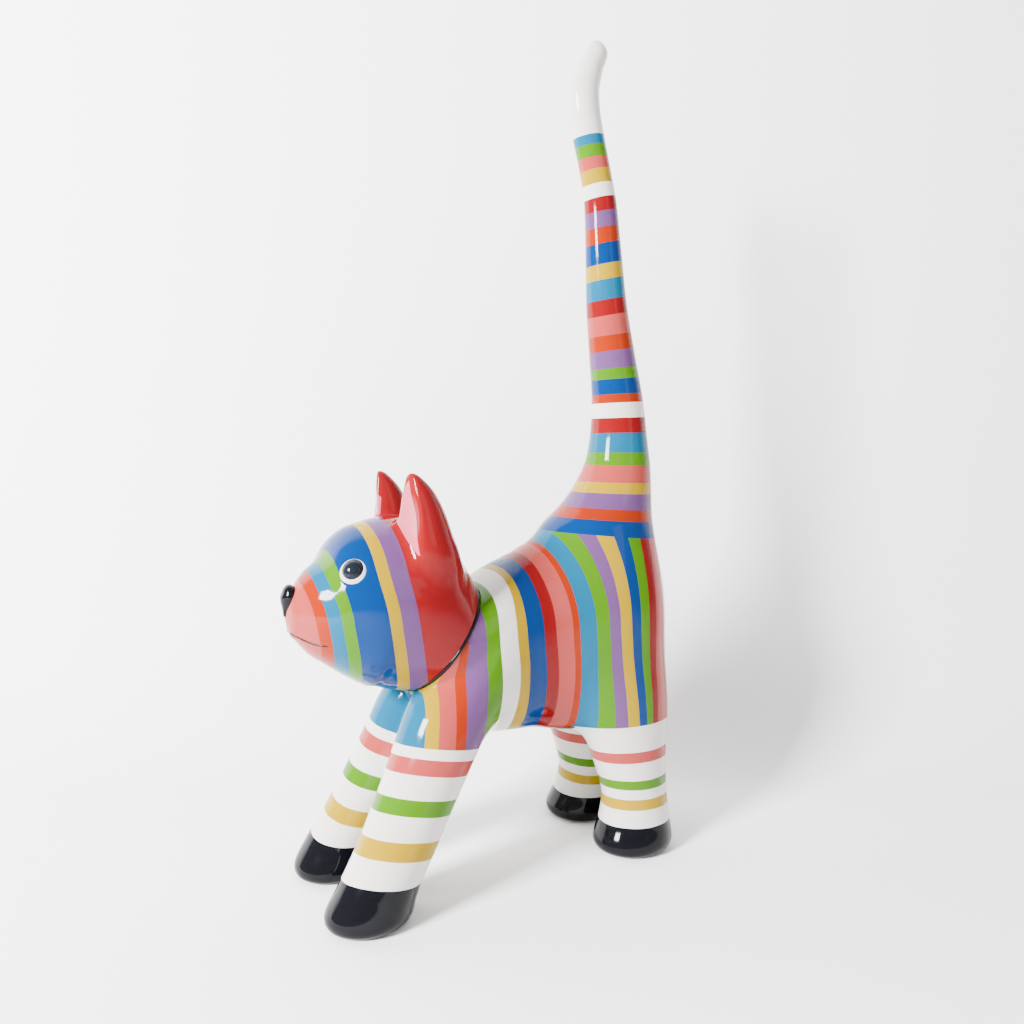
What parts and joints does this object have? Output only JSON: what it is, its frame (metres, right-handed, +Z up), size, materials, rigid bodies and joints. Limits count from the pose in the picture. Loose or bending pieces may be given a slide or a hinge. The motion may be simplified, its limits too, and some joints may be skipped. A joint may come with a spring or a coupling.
{
  "type": "alebrije figure",
  "caption": "Standing carved-wood cat with a tall upright tail, painted in colour stripes and varnished, its head push-fitted on a neck dowel.",
  "frame": {"origin": "on the ground, under the middle of the figure's box", "axes": "+Z up, the cat faces -Y, its left side is +X"},
  "size_m": [0.1268, 0.2855, 0.5998],
  "materials": {
    "torso_paint": "hand-painted stripes under gloss varnish",
    "head_paint": "hand-painted stripes under gloss varnish",
    "ear_paint": "red with pink inside, gloss varnish",
    "leg_paint": "white socks with colour bands and black boots, gloss varnish",
    "tail_paint": "hand-painted bands under gloss varnish",
    "ring_black": "gloss black",
    "eye_bead": "polished dark bead with a painted white rim",
    "nose_black": "gloss black",
    "dowel_wood": "bare beech dowel"
  },
  "bodies": {
    "torso": {"torso": "torso_paint", "neck_ring": "ring_black", "tail": "tail_paint", "tail_dowel": "dowel_wood", "front_leg_left": "leg_paint", "front_leg_right": "leg_paint", "front_leg_dowel_left": "dowel_wood", "front_leg_dowel_right": "dowel_wood", "hind_leg_left": "leg_paint", "hind_leg_right": "leg_paint", "hind_leg_dowel_left": "dowel_wood", "hind_leg_dowel_right": "dowel_wood"},
    "peg": {"neck_dowel": "dowel_wood"},
    "head": {"head": "head_paint", "nose": "nose_black", "ear_left": "ear_paint", "ear_right": "ear_paint", "ear_peg_left": "dowel_wood", "ear_peg_right": "dowel_wood", "eye_left": "eye_bead", "eye_right": "eye_bead"}
  },
  "joints": [
    {"name": "head_turn", "type": "hinge", "parent": "torso", "child": "peg", "pos_m": [0, -0.0402, 0.171], "axis": [0, -0.8039, 0.5948], "range_deg": [-30, 30]},
    {"name": "head_pull", "type": "slide", "parent": "peg", "child": "head", "axis": [0, -0.8039, 0.5948], "range_m": [0, 0.04]}
  ]
}
